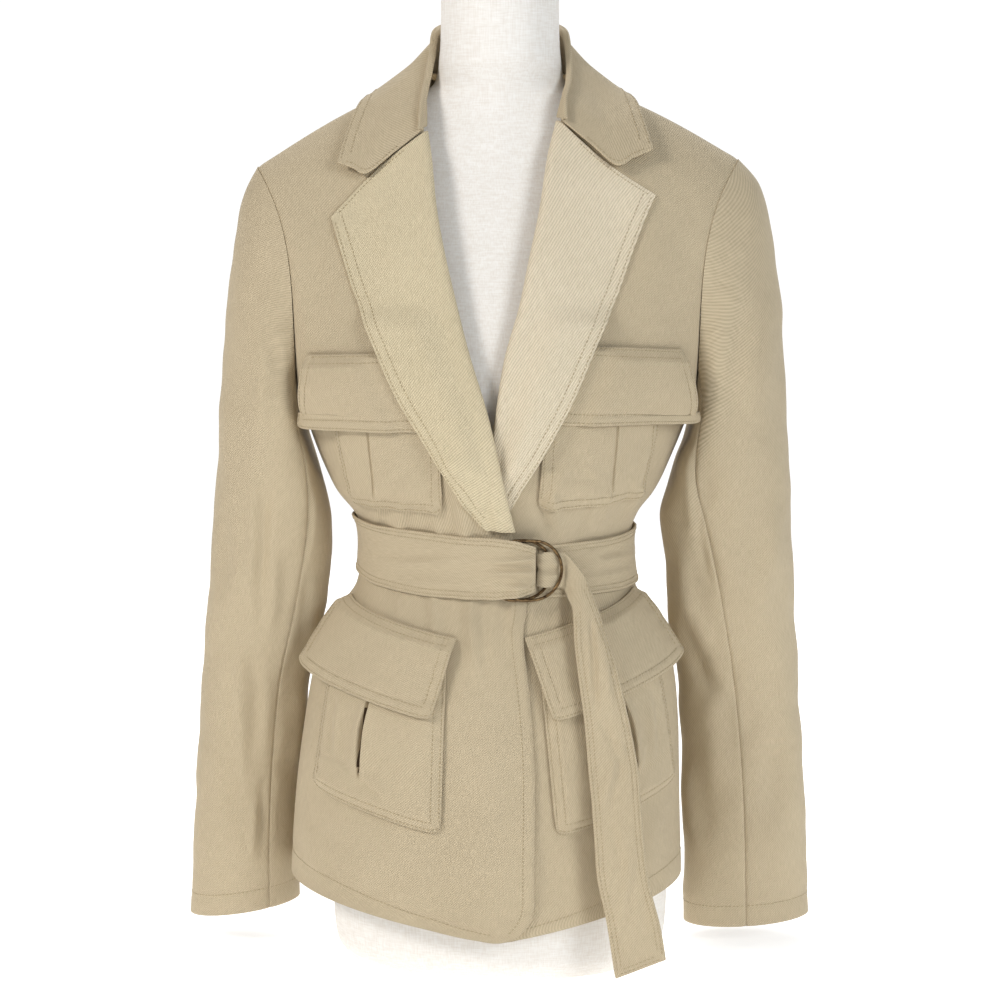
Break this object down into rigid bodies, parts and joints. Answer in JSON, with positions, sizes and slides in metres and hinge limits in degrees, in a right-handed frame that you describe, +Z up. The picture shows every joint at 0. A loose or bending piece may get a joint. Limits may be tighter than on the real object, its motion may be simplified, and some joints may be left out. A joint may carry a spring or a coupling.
{
  "type": "safari jacket on a dress form",
  "caption": "Belted safari jacket of khaki cotton twill with notched lapels, flap patch pockets and a ring-fastened sash belt, shown on a limbless linen dress form.",
  "frame": {"origin": "middle of the dress form's flat underside, which the part stands on", "axes": "+Z up; the jacket's front faces -Y; the wearer's left side is +X"},
  "size_m": [0.531, 0.2321, 0.818],
  "materials": {
    "twill": "khaki cotton twill, matt, fine diagonal weave",
    "ring_brass": "antique brass, dark in the hollows and rubbed bright on the edges",
    "linen": "off-white plain-weave linen, matt, stretched smooth"
  },
  "bodies": {
    "root": {"front_right": "twill", "front_left": "twill", "back": "twill", "sleeve_right_top": "twill", "sleeve_right_under": "twill", "sleeve_left_top": "twill", "sleeve_left_under": "twill", "lapel_right": "twill", "lapel_left": "twill", "collar": "twill", "pocket_chest_right": "twill", "pocket_chest_left": "twill", "pocket_hip_right": "twill", "pocket_hip_left": "twill", "flap_chest_right": "twill", "flap_chest_left": "twill", "flap_hip_right": "twill", "flap_hip_left": "twill", "belt": "twill", "belt_tail": "twill", "ring_inner": "ring_brass", "ring_outer": "ring_brass", "form_torso": "linen"}
  },
  "joints": []
}
